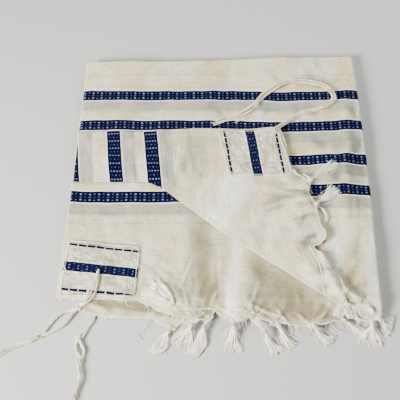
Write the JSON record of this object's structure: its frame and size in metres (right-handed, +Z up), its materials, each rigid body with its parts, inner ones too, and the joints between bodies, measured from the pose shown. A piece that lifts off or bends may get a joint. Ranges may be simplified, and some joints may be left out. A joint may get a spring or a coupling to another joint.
{
  "type": "tallit prayer shawl, folded",
  "caption": "Hand-woven prayer shawl folded flat, one striped corner turned back, with corner patches, knotted tassel fringe and long corner strings.",
  "frame": {"origin": "centre of the bounding box in plan, on the surface the folded shawl rests on", "axes": "+Z up out of the surface, +X to the right along the fringed near hem, +Y away towards the far fold"},
  "size_m": [0.6482, 0.7637, 0.0251],
  "materials": {
    "shawl_cloth": "loosely hand-woven natural cream cotton with navy and dotted grey woven stripes",
    "patch_cloth": "cream cotton corner patch with a navy woven band and dashed navy lines, machine stitched",
    "fringe_yarn": "soft loose off-white cotton yarn, knotted",
    "tzitzit_cord": "twisted off-white cotton string, knotted"
  },
  "bodies": {
    "root": {"top_layer": "shawl_cloth", "second_layer": "shawl_cloth", "third_layer": "shawl_cloth", "hidden_layers": "shawl_cloth", "corner_patch_second": "patch_cloth", "corner_patch_flap": "patch_cloth", "tzitzit_second_cords": "tzitzit_cord", "tzitzit_second_ends": "tzitzit_cord", "tzitzit_third_cords": "tzitzit_cord", "tzitzit_third_ends": "tzitzit_cord", "tzitzit_flap": "tzitzit_cord", "tassel_01": "fringe_yarn", "tassel_02": "fringe_yarn", "tassel_03": "fringe_yarn", "tassel_04": "fringe_yarn", "tassel_05": "fringe_yarn", "tassel_06": "fringe_yarn", "tassel_07": "fringe_yarn", "tassel_08": "fringe_yarn", "tassel_09": "fringe_yarn", "tassel_10": "fringe_yarn", "tassel_11": "fringe_yarn", "tassel_12": "fringe_yarn", "tassel_13": "fringe_yarn", "tassel_14": "fringe_yarn", "tassel_15": "fringe_yarn"}
  },
  "joints": []
}
